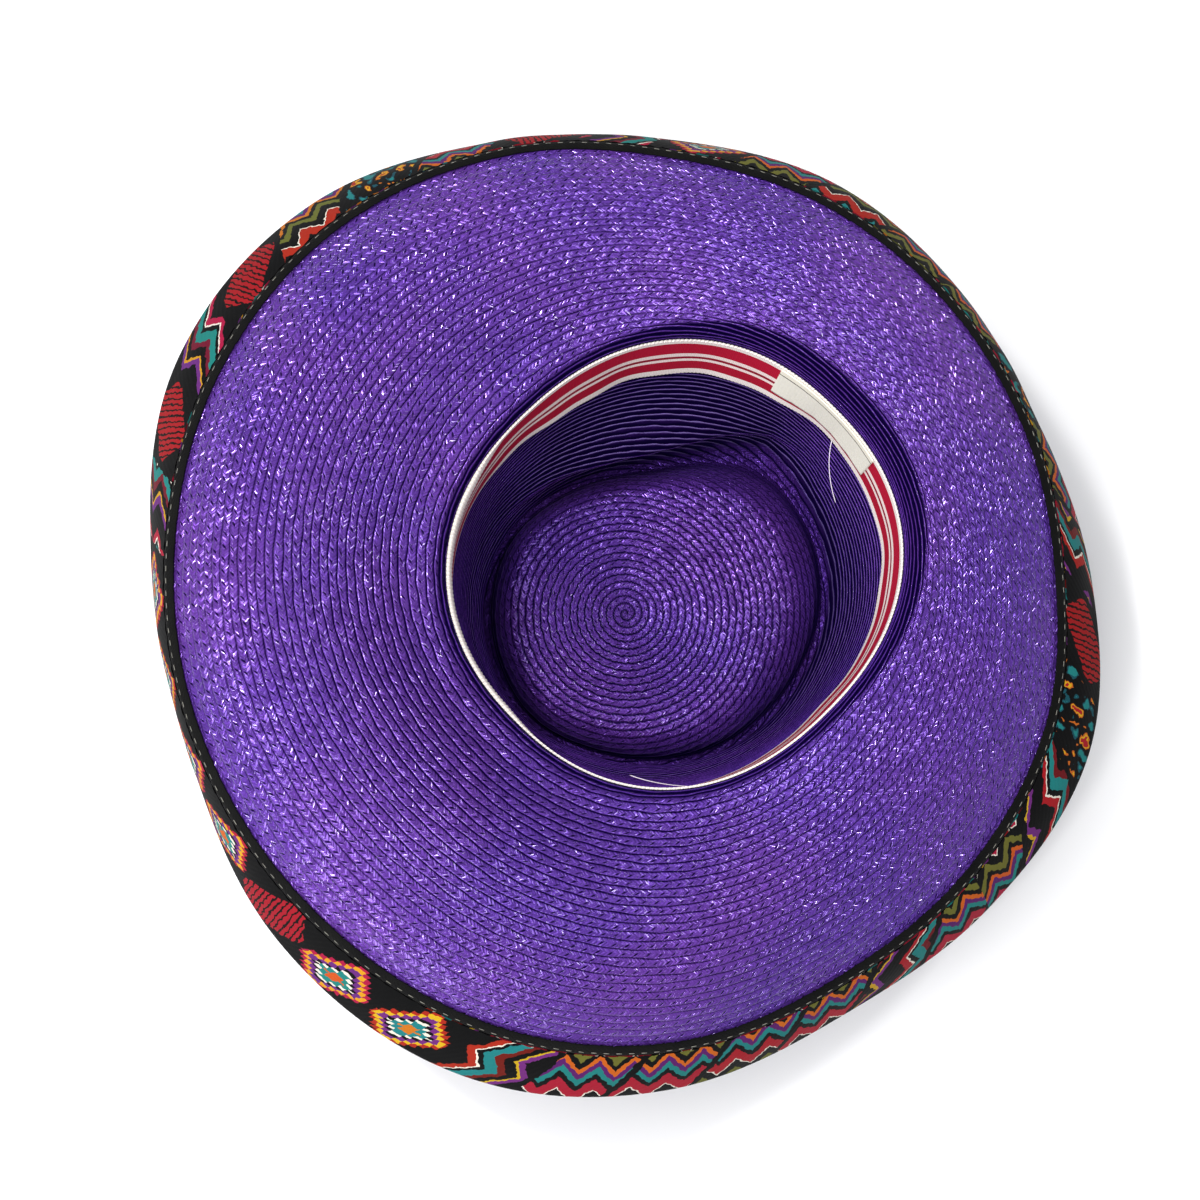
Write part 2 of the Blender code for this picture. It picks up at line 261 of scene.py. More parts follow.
class StageSettings(bpy.types.PropertyGroup):
    floor_size: bpy.props.FloatProperty(
        name="Floor", description="Side of the floor", default=6.0, unit="LENGTH")
    camera_distance: bpy.props.FloatProperty(
        name="Camera distance", description="From the head line to the camera", default=0.900, unit="LENGTH")
    lens: bpy.props.FloatProperty(
        name="Lens", description="Focal length on a 36 mm wide sensor, in millimetres", default=67.4)


def feed(node, inputs):
    """Feeds a node's sockets with values or other nodes' outputs: by name, or in order."""
    named = inputs if isinstance(inputs, dict) else dict(enumerate(inputs))
    for socket, value in named.items():
        if isinstance(value, bpy.types.NodeSocket):
            node.id_data.links.new(value, node.inputs[socket])
        else:
            node.inputs[socket].default_value = value


def add_node(tree, kind, inputs=(), **settings):
    """Adds a shader node, sets it, feeds it, and gives the first of its outputs that is in use.

    A range takes its value, the two ends that it runs from and the two that it runs to.
    In a mix, sockets 2 and 3 are its two values, and 6 and 7 its two colours.
    """
    made = tree.nodes.new("ShaderNode" + kind)
    for name, value in settings.items():
        setattr(made, name, value)
    feed(made, inputs)
    return next(socket for socket in made.outputs if socket.enabled)


def band_scale(distance):
    """Scale of a wave texture that puts its bands this far apart."""
    return math.tau / 20 / distance


def set_stops(ramp_output, stops, interpolation="LINEAR"):
    """Fills a colour ramp from pairs of place and colour."""
    ramp = ramp_output.node.color_ramp
    ramp.interpolation = interpolation
    while len(ramp.elements) < len(stops):
        ramp.elements.new(0.5)
    for element, (place, colour) in zip(ramp.elements, stops):
        element.position = place
    for element, (place, colour) in zip(ramp.elements, stops):
        element.color = srgb(colour) if isinstance(colour, str) else (colour, colour, colour, 1.0)


def new_material(name):
    """A material, what adds a node to it, and its shader."""
    finish = bpy.data.materials.new(name)
    finish.use_nodes = True
    tree = finish.node_tree
    return finish, partial(add_node, tree), tree.nodes["Principled BSDF"]


def around(rows, column, angles):
    """A table's column at some angles, on a smooth closed curve through its rows."""
    values = np.array([getattr(row, column) for row in rows], float)
    place = np.asarray(angles) / math.tau * len(values)
    index = np.floor(place).astype(int)
    step = place - index
    before, start, end, after = (values[(index + i) % len(values)] for i in (-1, 0, 1, 2))
    straight = start + (end - start) * step
    bend_start = (end - before) / 2 - (end - start)
    bend_end = (after - start) / 2 - (end - start)
    return straight + step * (1 - step) * (bend_start * (1 - step) - bend_end * step)


def head_radius(angles):
    across = np.abs(np.cos(angles)) / (HEAD_WIDTH / 2)
    along = np.abs(np.sin(angles)) / (HEAD_LENGTH / 2)
    return (across ** HEAD_SQUARENESS + along ** HEAD_SQUARENESS) ** (-1 / HEAD_SQUARENESS)


def foot_radius(angles):
    point = np.maximum(0.0, 1 - np.abs(angles % math.tau - POINT_ANGLE) / POINT_SPREAD)
    return around(CROWN_ROWS, "foot", angles) * HEAD_LENGTH / 2 + POINT_REACH * point


def tip_radius(angles):
    return around(CROWN_ROWS, "tip", angles) * HEAD_LENGTH / 2


def ring_radius(angles, ring):
    head = head_radius(angles)
    pinch = around(CROWN_ROWS, "pinch", angles) * PINCH_DEPTH * ring.pinch
    return head + (foot_radius(angles) - head) * ring.lean - pinch


def wall_radius(angles, height):
    """Inside radius of the crown's wall at a height, straight between its rings."""
    share = height / CROWN_DEPTH
    upper = max(i for i, ring in enumerate(WALL_RINGS[:-1]) if ring.height >= share)
    top, bottom = WALL_RINGS[upper], WALL_RINGS[upper + 1]
    step = (top.height - share) / (top.height - bottom.height)
    top_radius = ring_radius(angles, top)
    return top_radius + (ring_radius(angles, bottom) - top_radius) * step


def spots(angles, radius, height):
    """Points at some angles round the head's axis."""
    radius, height = np.broadcast_arrays(radius, height)
    x = HEAD_AXIS.x + radius * np.cos(angles)
    y = HEAD_AXIS.y + radius * np.sin(angles)
    return np.stack([x, y, np.broadcast_to(height, x.shape)], axis=-1)


def crown_controls(angles):
    """Points of the crown's outer skin from the head line to the middle of the top, by angle."""
    foot, tip = foot_radius(angles), tip_radius(angles)
    middle = (foot + tip) / 2
    columns = []
    for ring in WALL_RINGS:
        columns.append(spots(angles, ring_radius(angles, ring) + STRAW, ring.height * CROWN_DEPTH))
    columns.append(spots(angles, foot + STRAW - GROOVE_RISE / 4, GROOVE_RISE / 2))
    columns.append(spots(angles, middle + RIDGE_FLAT / 2, 0.0))
    columns.append(spots(angles, middle - RIDGE_FLAT / 2, 0.0))
    edge = spots(angles, tip - STRAW, GROOVE_RISE)
    columns.append(edge)
    centre = np.array([HEAD_AXIS.x + TIP_CENTRE[0], HEAD_AXIS.y + TIP_CENTRE[1], 0.0])
    for ring in TIP_RINGS:
        flat = centre + (edge - centre) * ring.size
        flat[:, 2] = TIP_RISE * ring.rise
        columns.append(flat)
    columns.append(np.broadcast_to(centre + [0, 0, TIP_RISE * TIP_RINGS[-1].rise], edge.shape))
    return np.stack(columns, axis=1)


RIDGE_CONTROL = len(WALL_RINGS) + 1


def slope(degrees):
    """Unit steps outwards and up along slopes."""
    turned = np.radians(degrees)
    return np.stack([np.cos(turned), np.sin(turned)], axis=-1)


def square_to(along):
    """Unit steps turned up by a quarter turn."""
    return np.stack([-along[:, 1], along[:, 0]], axis=-1)


def bent(start, handle, end, t):
    """Points from start to end on a curve that a handle draws to itself."""
    return (1 - t) ** 2 * start + 2 * (1 - t) * t * handle + t ** 2 * end


def brim_edge(angles):
    """The straw's edge on the upper face of the brim as it lies, as distance from the axis and height."""
    reach = around(BRIM_ROWS, "reach", angles) * BRIM_REACH
    rise = around(BRIM_ROWS, "rise", angles) * BRIM_RISE
    return np.stack([head_radius(angles) + reach, CROWN_DEPTH + rise], axis=-1)


def brim_controls(angles):
    """Points of the brim's upper face as it lies, from the head line out to the straw's edge, by angle."""
    neck = around(BRIM_ROWS, "neck", angles)[:, None] * NECK_HEIGHT
    root = np.stack([head_radius(angles), np.full(len(angles), CROWN_DEPTH + CLEARANCE)], axis=-1)
    crest = root + neck * np.array([NECK_LEAN, 1.0])
    edge_slope = slope(around(BRIM_ROWS, "edge", angles))
    edge = brim_edge(angles)
    lap = edge - edge_slope * (TAPE_LAP + CLEARANCE)
    handle = np.linalg.norm(lap - crest, axis=1)[:, None] * BRIM_SWELL
    turn = crest + slope(around(BRIM_ROWS, "crest", angles)) * handle
    fall = lap - edge_slope * handle
    points = [root, root + neck * np.array([0.0, 1 / 3]), crest]
    steps = 7
    for i in range(1, steps + 1):
        t = i / steps
        points.append((1 - t) * bent(crest, turn, fall, t) + t * bent(turn, fall, lap, t))
    points.append(edge)
    return np.stack([spots(angles, point[:, 0], point[:, 1]) for point in points], axis=1)


def along_curves(controls, rows, last, ridge=None):
    """Points on smooth curves through controls, one for each angle, at rows counted from 0 to last along it.

    Past the control whose index is ridge, where one is given, the rows are all as wide as the settings say.
    """
    points = np.empty(rows.shape + (3,))
    for curve, wanted, found in zip(controls, rows, points):
        spans = np.maximum(np.linalg.norm(np.diff(curve, axis=0), axis=1), 1e-9)
        lengths = np.concatenate([[0.0], np.cumsum(spans)])
        rates = np.diff(curve, axis=0) / spans[:, None]
        slopes = np.empty_like(curve)
        slopes[0], slopes[-1] = rates[0], rates[-1]
        before, after = spans[:-1, None], spans[1:, None]
        slopes[1:-1] = (rates[:-1] * after + rates[1:] * before) / (before + after)
        counts, marks = [0.0, last], [0.0, lengths[-1]]
        if ridge is not None:
            counts.insert(1, last - (lengths[-1] - lengths[ridge]) / bpy.context.scene.hat_straw.tip_pitch)
            marks.insert(1, lengths[ridge])
        place = np.interp(wanted, counts, marks)
        index = np.clip(np.searchsorted(lengths, place, side="right") - 1, 0, len(spans) - 1)
        span = spans[index][:, None]
        t = (place - lengths[index])[:, None] / span
        found[:] = (
            (2 * t ** 3 - 3 * t ** 2 + 1) * curve[index]
            + (t ** 3 - 2 * t ** 2 + t) * span * slopes[index]
            + (3 * t ** 2 - 2 * t ** 3) * curve[index + 1]
            + (t ** 3 - t ** 2) * span * slopes[index + 1]
        )
    return points


def braid_face(controls_at, angles, rings, last, ridge, facing):
    """Points and normals of one face of sewn braid: rings of rows that climb by one row in each turn."""
    turns = angles[:, None]
    rows = rings[None, :] - turns / math.tau
    # Sewn by hand, the rows wander by up to a tenth of their width
    rows = rows + 0.05 * np.sin(37 * turns + 2.1 * rows) + 0.04 * np.sin(61 * turns + 4.3 * rows)
    rows = np.clip(rows, 0.0, last)

    def face_at(turned, stepped):
        return along_curves(controls_at(angles + turned), np.clip(rows + stepped, 0.0, last), last, ridge)

    base = face_at(0.0, 0.0)
    sideways = face_at(0.002, 0.0) - face_at(-0.002, 0.0)
    onwards = face_at(0.0, 0.3) - face_at(0.0, -0.3)
    normals = np.cross(sideways, onwards) * facing
    sizes = np.linalg.norm(normals, axis=-1, keepdims=True)
    normals = np.where(sizes > 1e-12, normals / np.maximum(sizes, 1e-12), np.array([0.0, 0.0, 1.0]))
    return base, normals, rows


def braid_rings(lap, lips_out, last):
    """Ring numbers and lap depths of a face: the lap's rings in each row, and in one more for the start."""
    lap = sorted(lap if lips_out else [(1 - share, depth) for share, depth in lap])
    rings = [row + share for row in range(int(last) + 1) for share, depth in lap]
    depths = [depth for row in range(int(last) + 1) for share, depth in lap]
    return np.array(rings), np.array(depths)


def braid_shell(name, controls_at, sections, last, ridge, back_lap, facing, base_is_front):
    """A closed wall of sewn braid, each row lapped over the next, with the lips towards the brim's edge.

    The controls lie on its front face, as on the brim, where rows count towards the lips, or on its back one.
    """
    straw = bpy.context.scene.hat_straw
    angles = np.linspace(0.0, math.tau, sections + 1)
    faces, ring_rows = [], []
    for lap, is_front in ((FRONT_LAP, True), (back_lap, False)):
        rings, depths = braid_rings(lap, base_is_front, last)
        base, normals, rows = braid_face(controls_at, angles, rings, last, ridge, facing)
        depth = depths * np.clip(np.minimum(rows, last - rows), 0.0, 1.0) * straw.row_depth
        if is_front:
            lift = (0.0 if base_is_front else STRAW) - depth
        else:
            lift = (-STRAW if base_is_front else 0.0) + depth
        points = base + normals * lift[..., None]
        points[..., 2] = np.maximum(points[..., 2], 0.0)
        faces.append(points if is_front else points[:, ::-1])
        ring_rows.append(rings if is_front else rings[::-1])
    points = np.concatenate([faces[0], faces[1], faces[0][:, :1]], axis=1)
    rows = np.concatenate([ring_rows[0], ring_rows[1], ring_rows[0][:1]])

    # The UV map counts plaits along the braid, backwards on the outside, and rows across it
    bands = np.minimum(rows[:-1], rows[1:]).astype(int)
    middles = np.array([np.abs(rows - band - 0.5).argmin() for band in range(int(last) + 2)])
    reach = ring_lengths(points)
    lengths = reach[-1, middles]
    started = np.array([lengths[band + 1:].sum() for band in range(int(last) + 2)])
    across = rows if base_is_front else int(last) + 2 - rows
    front_rings = faces[0].shape[1]

    def weave(i, j, low):
        band = bands[low]
        side = np.where(low < front_rings, 1.0, -1.0)
        return side * (started[band] + reach[i, middles[band]]) / straw.stitch_pitch, across[j]

    return rolled_grid(name, points, weave)


def deselect_all():
    """Leaves edit mode and selects nothing."""
    if bpy.context.object and bpy.context.object.mode != "OBJECT":
        bpy.ops.object.mode_set(mode="OBJECT")
    bpy.ops.object.select_all(action="DESELECT")


def rolled_grid(name, points, weave, sharp=40.0):
    """Adds a flat grid, rolls it onto points (round, across, xyz), lays its UV map and welds its seams."""
    deselect_all()
    count_round, count_across = points.shape[0] - 1, points.shape[1] - 1
    bpy.ops.mesh.primitive_grid_add(x_subdivisions=count_round, y_subdivisions=count_across, size=2.0)
    piece = bpy.context.object
    piece.name = name
    mesh = piece.data
    mesh.name = name
    flat = np.empty(len(mesh.vertices) * 3)
    mesh.vertices.foreach_get("co", flat)
    flat = flat.reshape(-1, 3)
    i = np.rint((flat[:, 0] + 1) / 2 * count_round).astype(int)
    j = np.rint((flat[:, 1] + 1) / 2 * count_across).astype(int)
    mesh.vertices.foreach_set("co", points[i, j].ravel())
    corners = np.empty(len(mesh.loops), dtype=np.int32)
    mesh.loops.foreach_get("vertex_index", corners)
    corner_i, corner_j = i[corners], j[corners]
    low = np.repeat(corner_j.reshape(-1, 4).min(axis=1), 4)
    u, v = weave(corner_i, corner_j, low)
    mesh.uv_layers.active.data.foreach_set("uv", np.stack([u, v], axis=-1).astype(np.float32).ravel())
    mesh.update()
    weld_and_face_out(piece)
    bpy.ops.object.shade_smooth_by_angle(angle=math.radians(sharp))
    return piece


def weld_and_face_out(piece):
    """Merges a piece's doubles and turns its faces outwards, as in edit mode."""
    deselect_all()
    piece.select_set(True)
    bpy.context.view_layer.objects.active = piece
    bpy.ops.object.mode_set(mode="EDIT")
    bpy.ops.mesh.select_all(action="SELECT")
    bpy.ops.mesh.remove_doubles(threshold=WELD)
    bpy.ops.mesh.normals_make_consistent(inside=False)
    bpy.ops.object.mode_set(mode="OBJECT")


def finish_piece(piece, material, node=None):
    """Gives a piece its material and its body, and hides the solid that it stands for."""
    piece.data.materials.clear()
    piece.data.materials.append(material)
    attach(piece, "root")
    if node:
        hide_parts(node)


def straw_material():
    """Dyed straw braid, plaited flat, sewn in lapped rows and lacquered: its plaits are facets that glint."""
    straw = bpy.context.scene.hat_straw
    finish, add, shader = new_material(STRAW_NAME)
    uv = add("UVMap", uv_map="UVMap")
    along, row, _ = add("SeparateXYZ", (uv,)).node.outputs
    share = add("Math", (row,), operation="FRACT")

    # Strands slant from the row's middle to both its edges, three to a plait, each with its own tilt and tint
    fold = add("Math", (share, 0.5), operation="PINGPONG")
    slanted = add("Math", (fold, -0.7, along), operation="MULTIPLY_ADD")
    counted = add("Math", (slanted, 3.0), operation="MULTIPLY")
    strand = add("Math", (counted,), operation="FLOOR")
    inside = add("Math", (counted,), operation="FRACT")
    doubled = add("Math", (row, 2.0), operation="MULTIPLY")
    side = add("Math", (doubled,), operation="FLOOR")
    across = add("Math", (doubled,), operation="FRACT")
    strand_name = add("CombineXYZ", (strand, side))
    luck = add("TexWhiteNoise", {"Vector": strand_name}, noise_dimensions="2D").node
    tint = luck.outputs["Value"]
    tilts = add("SeparateColor", (luck.outputs["Color"],)).node
    tilt_along, tilt_across, from_middle, from_centre = (
        add("Math", (value, 0.5), operation="SUBTRACT")
        for value in (tilts.outputs[0], tilts.outputs[1], inside, across))
    facet = add("Math", (tilt_along, from_middle), operation="MULTIPLY")
    facet = add("Math", (tilt_across, from_centre, facet), operation="MULTIPLY_ADD")
    to_side = add("Math", (inside, 0.5), operation="PINGPONG")
    fade = add("MapRange", (to_side, 0.0, 0.2), interpolation_type="SMOOTHSTEP")
    facet = add("Math", (facet, fade), operation="MULTIPLY")

    # A slanting dimple in every plait, where the needle pulls the straw down
    needle = add("Math", (share, 0.85, along), operation="MULTIPLY_ADD")
    stitch = add("Math", (needle,), operation="FRACT")
    stitch_x = add("Math", (stitch, 0.5), operation="SUBTRACT")
    stitch_x = add("Math", (stitch_x, 0.13), operation="DIVIDE")
    stitch_y = add("Math", (share, 0.60), operation="SUBTRACT")
    stitch_y = add("Math", (stitch_y, 0.28), operation="DIVIDE")
    stitch_place = add("CombineXYZ", (stitch_x, stitch_y))
    from_stitch = add("VectorMath", (stitch_place,), operation="LENGTH")
    dimple = add("MapRange", (from_stitch, 0.2, 1.15, 1.0, 0.0), interpolation_type="SMOOTHSTEP")
    strand_turn = add("Math", (counted, math.tau), operation="MULTIPLY")
    strands = add("Math", (strand_turn,), operation="COSINE")

    # Steep walls inside are drawn taut: smoother than the brim, with only the lips of their rows in the light
    upright = add("NewGeometry").node.outputs["Normal"]
    upright = add("SeparateXYZ", (upright,)).node.outputs[2]
    upright = add("Math", (upright,), operation="ABSOLUTE")
    steep = add("MapRange", (upright, 0.40, 0.86, 1.0, 0.0))
    inner = add("Math", (along, 0.0), operation="GREATER_THAN")
    steep = add("Math", (steep, inner), operation="MULTIPLY")
    place = add("TexCoord").node.outputs["Object"]
    height = add("SeparateXYZ", (place,)).node.outputs[2]
    neck = add("MapRange", (height, 0.100, 0.107))
    neck = add("Math", (neck, steep), operation="MULTIPLY")
    # The step down from each lip is smooth too, and the neck of the brim keeps some of the plaits
    lip_step = add("Math", (share, LIP_STEP), operation="GREATER_THAN")
    taut = add("Math", (neck, -0.5, steep), operation="MULTIPLY_ADD")
    bound = add("Math", (taut, lip_step), operation="MAXIMUM")
    loose = add("Math", (1.0, bound), operation="SUBTRACT")

    patches = add("TexNoise", {"Vector": place, "Scale": 14.0, "Detail": 2.0})
    dye = add("ValToRGB", {"Fac": patches})
    set_stops(dye, [(0.36, "#523198"), (0.50, "#5E3698"), (0.66, "#6B3A9C")])
    lit = add("Mix", {"Factor": 0.5, 6: dye, 7: list(straw.lit)}, data_type="RGBA")
    # Taut rows catch the light as a thin paler line along the lip
    edge = add("ValToRGB", {"Fac": share})
    set_stops(edge, [(0.70, 0.0), (0.82, 0.85), (0.96, 0.85)])
    below_neck = add("Math", (steep, neck), operation="SUBTRACT")
    edge = add("Math", (edge, below_neck), operation="MULTIPLY")
    lit = add("Mix", {"Factor": edge, 6: lit, 7: srgb("#9787C6")}, data_type="RGBA")

    # The pressed-in top is drawn finer and duller than the brim
    top_share = add("MapRange", (height, 0.036, 0.050, 0.62, 1.0))
    # Shadow under each lip, wider on the pressed-in top where the rows gape
    gape = add("MapRange", (height, 0.024, 0.036, 0.30, 0.21))
    under = add("MapRange", (share, 0.0, gape, 0.95, 0.0))
    seam = add("Math", (share, SEAM), operation="GREATER_THAN")
    seam = add("Math", (seam, under), operation="MAXIMUM")
    shadow = add("Math", (tint, 0.30, seam), operation="MULTIPLY_ADD")
    shadow = add("Math", (strands, 0.10, shadow), operation="MULTIPLY_ADD")
    # Painted shade darkens the pressed-in top
    top_shade = add("MapRange", (top_share, 0.62, 1.0, 0.22, 0.0))
    shadow = add("Math", (shadow, top_shade), operation="ADD")
    # Painted shade in each dimple, a little less on the pressed-in top
    pit = add("Math", (dimple, top_share), operation="MULTIPLY")
    shadow = add("Math", (pit, 0.82, shadow), operation="MULTIPLY_ADD", use_clamp=True)
    # Painted shade on steep walls, all but a band near the lip of each row
    wall = add("ValToRGB", {"Fac": share})
    set_stops(wall, [(0.0, 1.0), (0.60, 0.95), (0.76, 0.35), (0.90, 0.0), (0.955, 0.15), (0.968, 1.0)])
    shadow = add("Mix", {"Factor": steep, 2: shadow, 3: wall}, data_type="FLOAT")
    # The groove round the pressed-in top lies in the dark
    groove = add("MapRange", (height, 0.004, 0.015, 0.74, 0.0))
    shadow = add("Math", (shadow, groove), operation="MAXIMUM")
    # Painted shade on the steep neck of the brim
    shadow = add("Math", (neck, 0.30, shadow), operation="MULTIPLY_ADD", use_clamp=True)
    colour = add("Mix", {"Factor": shadow, 6: lit, 7: list(straw.shade_violet)}, data_type="RGBA")

    # Heights in millimetres
    lip = add("MapRange", (share, 0.78, 0.96, 0.0, -0.35), interpolation_type="SMOOTHSTEP")
    relief = add("Math", (facet, 0.95), operation="MULTIPLY")
    relief = add("Math", (dimple, -0.34, relief), operation="MULTIPLY_ADD")
    relief = add("Math", (relief, top_share), operation="MULTIPLY")
    relief = add("Math", (strands, -0.02, relief), operation="MULTIPLY_ADD")
    relief = add("Math", (relief, loose, lip), operation="MULTIPLY_ADD")
    bump = add("Bump", {"Height": relief, "Strength": 1.0, "Distance": 0.001})
    gloss = add("MapRange", (tint, 0.0, 1.0, 0.24, 0.40))
    gloss = add("Math", (bound, 0.25, gloss), operation="MULTIPLY_ADD")
    open_share = add("Math", (1.0, groove), operation="SUBTRACT")
    open_share = add("Math", (open_share, loose), operation="MULTIPLY")
    open_share = add("Math", (open_share, top_share), operation="MULTIPLY")
    # What lies in the dark, dimples too, holds little lacquer and mirrors little
    raised = add("MapRange", (shadow, 0.0, 1.0, 1.0, 0.05))
    raised = add("Math", (raised, open_share), operation="MULTIPLY")
    lacquer = add("Math", (raised, 0.75), operation="MULTIPLY")
    mirrored = add("Math", (raised, 0.55), operation="MULTIPLY")
    feed(shader, {"Base Color": colour, "Normal": bump, "Roughness": gloss, "IOR": 1.45})
    feed(shader, {"Coat Weight": lacquer, "Coat Normal": bump, "Coat Roughness": 0.12})
    # The dye tints what the strands mirror, as in foil
    feed(shader, {"Metallic": 0.42, "Specular IOR Level": mirrored, "Specular Tint": srgb("#8E6CD2")})
    return finish


class HAT_OT_crown(bpy.types.Operator):
    """Sews the crown from one spiral of braid"""

    bl_idname = "hat.crown"
    bl_label = "Crown"

    def execute(self, context):
        rows = context.scene.hat_straw.crown_rows
        piece = braid_shell("straw_crown", crown_controls, CROWN_SECTIONS, rows, RIDGE_CONTROL,
                            CROWN_BACK_LAP, 1.0, False)
        finish_piece(piece, shared_straw(), "crown")
        return {"FINISHED"}


class HAT_OT_brim(bpy.types.Operator):
    """Sews the brim from one spiral of braid"""

    bl_idname = "hat.brim"
    bl_label = "Brim"

    def execute(self, context):
        rows = context.scene.hat_straw.brim_rows
        piece = braid_shell("straw_brim", brim_controls, BRIM_SECTIONS, rows, None,
                            BRIM_BACK_LAP, -1.0, True)
        finish_piece(piece, shared_straw(), "brim")
        return {"FINISHED"}


def shared_straw():
    """The straw's material, made once for crown and brim."""
    return bpy.data.materials.get(STRAW_NAME) or straw_material()


def at_edge(angles, outward, above):
    """Points beside the straw's edge: outward along its slope, above its upper face."""
    along = slope(around(BRIM_ROWS, "edge", angles))
    beside = along * np.asarray(outward)[..., None] + square_to(along) * np.asarray(above)[..., None]
    return brim_edge(angles) + beside


def ring_lengths(points):
    """Distance along each ring from its first point."""
    steps = np.linalg.norm(np.diff(points, axis=0), axis=-1)
    return np.concatenate([np.zeros((1, points.shape[1])), np.cumsum(steps, axis=0)])


def band(name, outline_at, sections, sharp=40.0):
    """A closed band round the hat: outline_at gives the closed outline at all angles as (angle, point, 2)."""
    angles = np.linspace(0.0, math.tau, sections + 1)
    outline = outline_at(angles)
    outline[-1] = outline[0]
    outline = np.concatenate([outline, outline[:, :1]], axis=1)
    points = spots(angles[:, None], outline[..., 0], outline[..., 1])
    points[-1] = points[0]
    along = ring_lengths(points)[:, 0]
    across = ring_lengths(outline.mean(axis=0)[:, None])[:, 0]
    return rolled_grid(name, points, lambda i, j, low: (along[i], across[j]), sharp)


def rounded(corners, steps, share):
    """A closed outline (angle, point, 2) with each corner cut into short steps."""
    made = []
    for k in range(corners.shape[1]):
        before, here, after = corners[:, k - 1], corners[:, k], corners[:, (k + 1) % corners.shape[1]]
        start = here + (before - here) * share[k]
        end = here + (after - here) * share[k]
        for i in range(steps + 1):
            t = i / steps
            made.append(bent(start, here, end, t))
    return np.stack(made, axis=1)


class HAT_OT_edge_tape(bpy.types.Operator):
    """Folds the tape round the straw's edge and topstitches it"""

    bl_idname = "hat.edge_tape"
    bl_label = "Edge tape"

    def execute(self, context):
        trim = context.scene.hat_trim
        top, bottom = CLEARANCE, -STRAW - CLEARANCE
        back = CLEARANCE + TAPE_THICKNESS
        corners = (
            (-TAPE_LAP, top), (-TAPE_LAP, top + TAPE_THICKNESS), (back, top + TAPE_THICKNESS),
            (back, bottom - TAPE_THICKNESS), (-TAPE_LAP, bottom - TAPE_THICKNESS), (-TAPE_LAP, bottom),
            (CLEARANCE, bottom), (CLEARANCE, top),
        )
        softness = (0.12, 0.45, 0.45, 0.45, 0.45, 0.12, 0.12, 0.12)

        def outline_at(angles):
            # The stitches pull the tape in
            pull = 0.00012 * (np.sin(angles * 240) + 0.6 * np.sin(angles * 97 + 1.3))
            made = [at_edge(angles, out, above + np.sign(above) * pull) for out, above in corners]
            return rounded(np.stack(made, axis=1), 3, softness)

        piece = band("bias_tape", outline_at, TAPE_SECTIONS, 50.0)
        finish_piece(piece, tape_material(), "edge_tape")

        angles = np.linspace(0.0, math.tau, STITCH_LINE_POINTS, endpoint=False)
        stitches = []
        for above in (top + TAPE_THICKNESS, bottom - TAPE_THICKNESS):
            line = at_edge(angles, -TOPSTITCH_INSET, above)
            stitches += stitch_places(spots(angles, line[:, 0], line[:, 1]), trim.topstitch_pitch)
        topstitch = copies("tape_topstitch", stitch_model, stitches)
        finish_piece(topstitch, thread_material("Olive sewing thread, spun", "#4A4A40"))
        return {"FINISHED"}


def stitch_model():
    """One stitch along X: a short rounded length of thread."""
    trim = bpy.context.scene.hat_trim
    bpy.ops.mesh.primitive_uv_sphere_add(segments=6, ring_count=6, radius=trim.thread_radius,
                                         rotation=(0, math.pi / 2, 0))
    model = bpy.context.object
    bpy.ops.object.transform_apply(location=True, rotation=True, scale=True)
    stretch = (trim.topstitch_length - 2 * trim.thread_radius) / 2
    for vertex in model.data.vertices:
        vertex.co.x += math.copysign(stretch, vertex.co.x) if abs(vertex.co.x) > WELD else 0.0
    return model


def stitch_places(line, pitch):
    """Matrices along a closed line of points, one for each stitch."""
    closed = np.concatenate([line, line[:1]])
    lengths = ring_lengths(closed[:, None])[:, 0]
    count = int(lengths[-1] / pitch)
    places = []
    for wanted in np.arange(count) * lengths[-1] / count:
        here = Vector([np.interp(wanted, lengths, closed[:, k]) for k in range(3)])
        ahead = Vector([np.interp(wanted + pitch / 4, lengths, closed[:, k]) for k in range(3)])
        along = (ahead - here).normalized()
        side = Vector((0, 0, 1)).cross(along).normalized()
        turned = Matrix((along, side, along.cross(side))).transposed().to_4x4()
        places.append(Matrix.Translation(here) @ turned)
    return places


def copies(name, make_model, places):
    """One mesh of a model copied to every place."""
    deselect_all()
    model = make_model()
    verts = np.array([vertex.co for vertex in model.data.vertices])
    faces = [tuple(face.vertices) for face in model.data.polygons]
    bpy.data.objects.remove(model, do_unlink=True)
    points = [(np.array(place.to_3x3()) @ verts.T).T + np.array(place.translation) for place in places]
    mesh = bpy.data.meshes.new(name)
    all_faces = [tuple(v + k * len(verts) for v in face) for k in range(len(places)) for face in faces]
    mesh.from_pydata(np.concatenate(points).tolist(), [], all_faces)
    mesh.shade_smooth()
    piece = bpy.data.objects.new(name, mesh)
    bpy.context.scene.collection.objects.link(piece)
    weld_and_face_out(piece)
    return piece


def tape_material():
    """Cotton bias tape, plain woven and dyed black: dull, with a fine slanting weave."""
    finish, add, shader = new_material("Black cotton bias tape, woven and dyed")
    uv = add("UVMap", uv_map="UVMap")
    turned = add("Mapping", {0: uv, "Rotation": (0, 0, math.radians(45))})
    # Threads 0.35 mm apart are too fine to show, so they are drawn 1.4 mm apart
    weave = add("TexWave", {"Vector": turned, "Scale": band_scale(0.0014)}, wave_type="BANDS",
                bands_direction="X")
    place = add("TexCoord").node.outputs["Object"]
    wear = add("TexNoise", {"Vector": place, "Scale": 60.0, "Detail": 3.0})
    colour = add("ValToRGB", {"Fac": wear})
    set_stops(colour, [(0.3, "#020203"), (0.7, "#0A0A09")])
    relief = add("Math", (wear, 2.0, weave), operation="MULTIPLY_ADD")
    bump = add("Bump", {"Height": relief, "Strength": 0.5, "Distance": 0.0001})
    feed(shader, {"Base Color": colour, "Normal": bump, "Roughness": 0.8, "Specular IOR Level": 0.12})
    return finish


